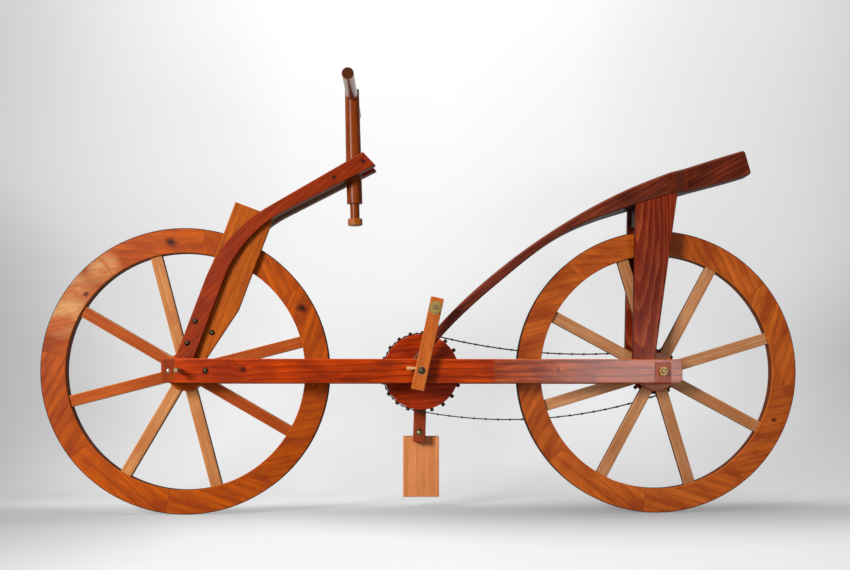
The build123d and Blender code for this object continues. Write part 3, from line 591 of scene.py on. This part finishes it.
def cotter_wedge():
    """The pale wedge that is driven in beside the near crank arm to lock it to its axle."""
    low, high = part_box("near_crank_arm")
    back, front = high[1] - 8 * MM, low[1] + 4 * MM
    x, z = CRANK_AXLE.x, CRANK_AXLE.z + 6 * MM
    # 30 mm long, 9 mm high at its head and 4 mm at its point
    head, point = (-36 * MM, 4.5 * MM), (-6 * MM, 2 * MM)
    outline = [(head[0], -head[1]), head, point, (point[0], -point[1])]
    mesh = bmesh.new()
    near = [mesh.verts.new((x + forward, front, z + up)) for forward, up in outline]
    far = [mesh.verts.new((x + forward, back, z + up)) for forward, up in outline]
    mesh.faces.new(near)
    mesh.faces.new(far[::-1])
    for number in range(4):
        after = (number + 1) % 4
        mesh.faces.new((near[after], near[number], far[number], far[after]))
    bmesh.ops.recalc_face_normals(mesh, faces=mesh.faces)
    bmesh.ops.bevel(mesh, geom=mesh.edges[:], offset=0.8 * MM, segments=2, affect="EDGES")
    data = bpy.data.meshes.new("crank_cotter_wedge")
    mesh.to_mesh(data)
    mesh.free()
    wedge = bpy.data.objects.new("crank_cotter_wedge", data)
    bpy.context.collection.objects.link(wedge)
    # ash split and pared with a knife, unfinished: pale and matt
    wedge.data.materials.append(timber(
        "cotter_wedge_pale_ash", along((x, front, z + 20 * MM)), ("#E8B884", "#D09A62", "#9A6A3C"),
        ring=3.0, stain=0.2, polish=0.45, sawn=False,
    ))
    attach(wedge, "crank")


# Studio: a paper sweep, lamps and the camera


def looked_at(tree, mirrored=1.0):
    """1 where the camera sees the background, straight or through glass; in a mirroring surface, the share
    given."""
    rays = add(tree, "LightPath").outputs
    straight = add(
        tree, "Math", {"operation": "MAXIMUM"}, i0=rays["Is Camera Ray"], i1=rays["Is Transmission Ray"],
    )
    glossy = add(tree, "Math", {"operation": "MULTIPLY"}, i0=rays["Is Glossy Ray"], i1=mirrored)
    return add(tree, "Math", {"operation": "MAXIMUM"}, i0=straight, i1=glossy)


def paper():
    """White background paper: matt, with painted shade: bright behind the bicycle's middle, greyer to both
    sides and low down, and a soft band of painted shade where it bends to the floor."""
    material, tree = new_material("background_paper")
    where = add(tree, "TexCoord").outputs["Object"]
    soft = add(tree, "TexNoise", Vector=where, Scale=1.1, Detail=1.0).outputs["Color"]
    sway = (0.5, 0.0, 0.35)
    shaken = add(tree, "VectorMath", {"operation": "MULTIPLY_ADD"}, i0=soft, i1=sway, i2=where)
    x, y, z = add(tree, "SeparateXYZ", Vector=shaken).outputs
    # painted shade across the paper: greyer towards both sides, changing with height, and darker in a band
    # where it bends to the floor
    width = add(tree, "MapRange", Value=x, From_Min=-1.3, From_Max=1.9)
    sideways = add(tree, "ValToRGB", {"stops": [
        (0.0, 0.56), (0.16, 0.74), (0.36, 0.95), (0.5, 1.0), (0.68, 0.98), (0.85, 0.84), (1.0, 0.68),
    ]}, Fac=width)
    height = add(tree, "MapRange", Value=z, From_Min=0.1, From_Max=1.8)
    painted_height_shade = add(tree, "ValToRGB", {"stops": [
        (0.0, 0.98), (0.12, 0.95), (0.3, 0.9), (0.6, 0.94), (1.0, 1.0),
    ]}, Fac=height)
    depth = add(tree, "MapRange", Value=y, From_Min=-0.8, From_Max=0.6)
    level = add(tree, "ValToRGB", {"stops": [
        (0.0, 0.93), (0.2, 0.96), (0.36, 0.9), (0.5, 0.78), (0.66, 0.78), (0.8, 0.98),
    ]}, Fac=depth)
    upright = add(tree, "MixRGB", {"blend_type": "MULTIPLY"}, Fac=1.0, Color1=sideways, Color2=painted_height_shade)
    tone = add(tree, "MixRGB", {"blend_type": "MULTIPLY"}, Fac=1.0, Color1=upright, Color2=level)
    # soft shade low at the left, on the floor's left corner and behind the rear wheel
    for place, least, reach in (
        ((-1.45, 0.8, 0.45), 0.62, 0.85), ((-1.6, -0.75, 0.0), 0.3, 1.4), ((0.75, 0.1, 0.1), 0.6, 0.85),
    ):
        away = add(tree, "VectorMath", {"operation": "DISTANCE"}, i0=shaken, i1=place).outputs["Value"]
        share = add(tree, "Math", {"operation": "DIVIDE"}, i0=away, i1=reach)
        fall = [(0.1, least), (0.53, 0.5 + least / 2), (1.0, 1.0)]
        shade = add(tree, "ValToRGB", {"stops": fall}, Fac=share)
        tone = add(tree, "MixRGB", {"blend_type": "MULTIPLY"}, Fac=1.0, Color1=tone, Color2=shade)
    # what the paper throws on the bicycle is dimmer than what the camera sees
    dimmer = add(tree, "MixRGB", {"blend_type": "MULTIPLY"}, Fac=1.0, Color1=tone, Color2="#9A9A9A")
    shader = add(tree, "BsdfPrincipled", Base_Color=dimmer, Roughness=0.9, Specular_IOR_Level=0.0)
    drawn = add(tree, "MixRGB", {"blend_type": "MULTIPLY"}, Fac=1.0, Color1=tone, Color2="#B4B4B4")
    lit = add(tree, "BsdfDiffuse", Color=drawn)
    # seen by the camera, the paper glows with its tone, its painted shade included
    glow = add(tree, "Emission", Color=tone, Strength=0.58)
    seen = add(tree, "AddShader", i0=lit, i1=glow)
    front = add(tree, "MixShader", Fac=looked_at(tree), i1=shader, i2=seen)
    # from behind, the paper isn't there
    side = add(tree, "NewGeometry").outputs["Backfacing"]
    shown = add(tree, "MixShader", Fac=side, i1=front, i2=add(tree, "BsdfTransparent"))
    add(tree, "OutputMaterial", Surface=shown)
    return material


def backdrop():
    """A pale paper sweep: level under the bicycle, curved up behind it."""
    bend, back, top, front, half = 0.55, 1.15, 4.5, -4.5, 5.0
    steps = 24
    profile = [(front, 0.0), (back - bend, 0.0)]
    for step in range(1, steps + 1):
        turn = math.pi / 2 * step / steps
        profile.append((back - bend + bend * math.sin(turn), bend - bend * math.cos(turn)))
    profile.append((back, top))
    mesh = bmesh.new()
    # 0.4 mm below the wheels
    rows = [[mesh.verts.new((x, y, z - 0.4 * MM)) for x in (-half, half)] for y, z in profile]
    for (a, b), (c, d) in zip(rows, rows[1:]):
        face = mesh.faces.new((a, b, d, c))
        face.smooth = True
    data = bpy.data.meshes.new("paper_sweep")
    mesh.to_mesh(data)
    mesh.free()
    sweep = bpy.data.objects.new("paper_sweep", data)
    bpy.context.collection.objects.link(sweep)
    sweep.data.materials.append(paper())


def lamp(name, place, target, size, power):
    """A soft white lamp, its size in metres and its power in watts."""
    data = bpy.data.lights.new(name, "AREA")
    data.shape = "RECTANGLE"
    data.size, data.size_y = size
    data.energy = power
    light = bpy.data.objects.new(name, data)
    light.location = place
    light.rotation_euler = (Vector(target) - Vector(place)).to_track_quat("-Z", "Y").to_euler()
    bpy.context.collection.objects.link(light)


def studio():
    backdrop()
    lamp("window_left", (-2.5, -3.4, 1.5), (0.15, 0.0, 0.5), (1.2, 1.2), 200.0)
    lamp("reflector_right", (1.15, -3.3, 0.42), (0.4, 0.0, 0.35), (0.8, 0.3), 17.0)
    lamp("overhead", (-0.3, -0.6, 3.4), (0.0, 0.2, 0.0), (3.0, 1.2), 40.0)
    world = bpy.data.worlds.new("studio")
    bpy.context.scene.world = world
    world.use_nodes = True
    tree = world.node_tree
    tree.nodes.clear()
    # the room is dark in front of the bicycle and pale behind it
    direction = add(tree, "SeparateXYZ", Vector=add(tree, "TexCoord").outputs["Generated"]).outputs["Y"]
    towards = add(tree, "MapRange", Value=direction, From_Min=-0.6, From_Max=0.5, To_Min=0.04, To_Max=0.3)
    room = add(tree, "Background", Color="#F4F6FA", Strength=towards)
    pale = add(tree, "Background", Color="#E6E6E6", Strength=1.0)
    beyond = add(tree, "MapRange", Value=direction, From_Min=-0.6, From_Max=0.5)
    both = add(tree, "MixShader", Fac=looked_at(tree, beyond), i1=room, i2=pale)
    add(tree, "OutputWorld", Surface=both)


def camera():
    """Level, low and a little to the front, with the view raised and turned by the lens alone."""
    data = bpy.data.cameras.new("camera")
    data.lens = 52.1
    data.sensor_width = 36.0
    data.shift_x = -0.0506
    data.shift_y = 0.1329
    view = bpy.data.objects.new("camera", data)
    view.location = (-0.033, -3.05, 0.285)
    view.rotation_euler = (math.radians(90), 0.0, math.radians(-2.7))
    bpy.context.collection.objects.link(view)
    bpy.context.scene.camera = view


paint_wheels()
paint_beams()
paint_fork()
paint_seat()
paint_drive()
paint_handlebar()
paint_metal()
cotter_wedge()
studio()
camera()
bpy.context.scene.view_settings.view_transform = "Standard"
